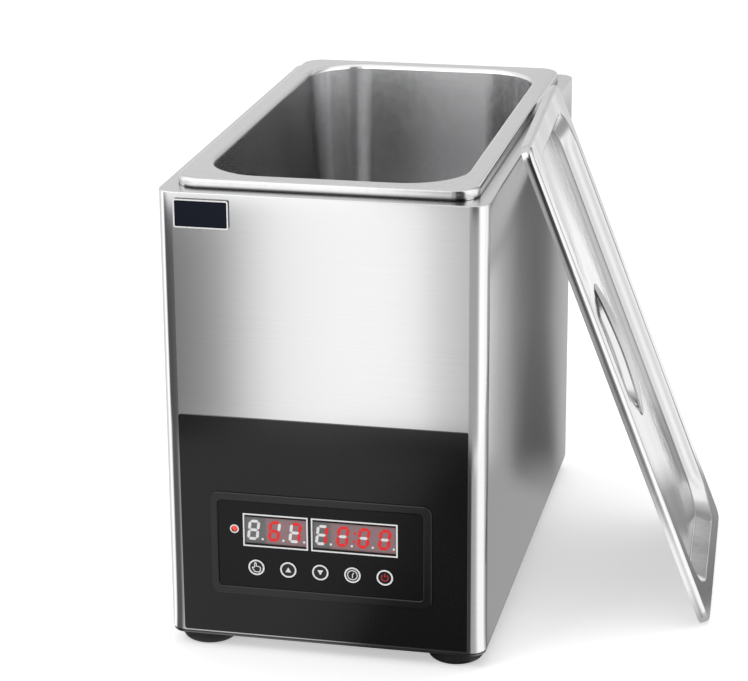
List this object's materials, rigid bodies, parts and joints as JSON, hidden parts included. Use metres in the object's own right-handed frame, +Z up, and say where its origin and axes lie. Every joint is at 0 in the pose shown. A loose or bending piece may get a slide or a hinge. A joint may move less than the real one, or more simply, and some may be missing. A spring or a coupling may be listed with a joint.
{
  "type": "egg boiler",
  "caption": "Counter-top electric egg boiler: a stainless box with a lift-out gastronorm pan over a water bath, a digital timer panel on its front and a stamped lid leaning at its side.",
  "frame": {"origin": "centre of the casing's footprint, on the surface that the feet stand on", "axes": "+X to the right of someone facing the controls, +Y from the controls to the rear, +Z up"},
  "size_m": [0.3157, 0.3617, 0.2969],
  "materials": {
    "stainless": "satin brushed stainless sheet",
    "zinc_steel": "zinc plated",
    "bright_trim": "bright border",
    "navy_enamel": "satin dark blue",
    "rubber": "matte",
    "seal_rubber": "matte silicone",
    "mineral_wool": "fibrous",
    "element_sheath": "heat tinted stainless tube",
    "brass": "turned",
    "phenolic": "moulded",
    "black_sheet": "satin black with a fine grain",
    "black_plastic": "fine grain",
    "black_nylon": "moulded",
    "black_film": "satin polyester film",
    "key_black": "satin with a pale ring",
    "display_grey": "smooth",
    "lit_red": "lit",
    "unlit_segment": "milky",
    "lamp_red": "lit",
    "circuit_board": "green solder mask",
    "iron_core": "varnished laminations",
    "relay_blue": "moulded",
    "aluminium": "extruded"
  },
  "bodies": {
    "casing": {"outer_wrap": "stainless", "top_deck": "stainless", "rear_cover": "stainless", "inner_well": "stainless", "base_tray": "zinc_steel", "rubber_feet": "rubber", "foot_screws": "zinc_steel", "foot_nuts": "zinc_steel", "rear_screws": "zinc_steel", "cable_gland": "black_nylon", "gland_nut": "black_nylon", "badge_plate": "bright_trim", "badge_inlay": "navy_enamel", "well_insulation": "mineral_wool", "heating_element": "element_sheath", "element_seals": "seal_rubber", "element_nuts": "brass", "temperature_probe": "element_sheath", "probe_nut": "brass", "thermal_cutout": "phenolic", "cutout_bracket": "zinc_steel", "fascia_panel": "black_sheet", "control_bezel": "black_plastic", "keypad_film": "black_film", "temperature_display": "display_grey", "timer_display": "display_grey", "lit_segments": "lit_red", "unlit_segments": "unlit_segment", "heating_lamp": "lamp_red", "key_switches": "black_plastic", "control_board": "circuit_board", "board_spacers": "black_nylon", "board_studs": "zinc_steel", "power_board": "circuit_board", "power_spacers": "black_nylon", "power_screws": "zinc_steel", "transformer": "iron_core", "power_relay": "relay_blue", "heat_sink": "aluminium", "terminal_block": "phenolic", "earth_stud": "brass"},
    "pan": {"gn_pan": "stainless"},
    "lid": {"lid_shell": "stainless", "lid_handle": "stainless"},
    "key_set": {"key_set": "key_black"},
    "key_up": {"key_up": "key_black"},
    "key_down": {"key_down": "key_black"},
    "key_timer": {"key_timer": "key_black"},
    "key_power": {"key_power": "key_black"}
  },
  "joints": [
    {"name": "pan_lift", "type": "slide", "parent": "casing", "child": "pan", "axis": [0, 0, 1], "range_m": [0, 0.2]},
    {"name": "lid_lift", "type": "slide", "parent": "casing", "child": "lid", "axis": [0, 0, 1], "range_m": [0, 0.3]},
    {"name": "key_set_press", "type": "slide", "parent": "casing", "child": "key_set", "axis": [0, 1, 0], "range_m": [0, 0.0004], "stiffness_N_per_m": 500, "springref_m": -0.0012},
    {"name": "key_up_press", "type": "slide", "parent": "casing", "child": "key_up", "axis": [0, 1, 0], "range_m": [0, 0.0004], "stiffness_N_per_m": 500, "springref_m": -0.0012},
    {"name": "key_down_press", "type": "slide", "parent": "casing", "child": "key_down", "axis": [0, 1, 0], "range_m": [0, 0.0004], "stiffness_N_per_m": 500, "springref_m": -0.0012},
    {"name": "key_timer_press", "type": "slide", "parent": "casing", "child": "key_timer", "axis": [0, 1, 0], "range_m": [0, 0.0004], "stiffness_N_per_m": 500, "springref_m": -0.0012},
    {"name": "key_power_press", "type": "slide", "parent": "casing", "child": "key_power", "axis": [0, 1, 0], "range_m": [0, 0.0004], "stiffness_N_per_m": 500, "springref_m": -0.0012}
  ]
}
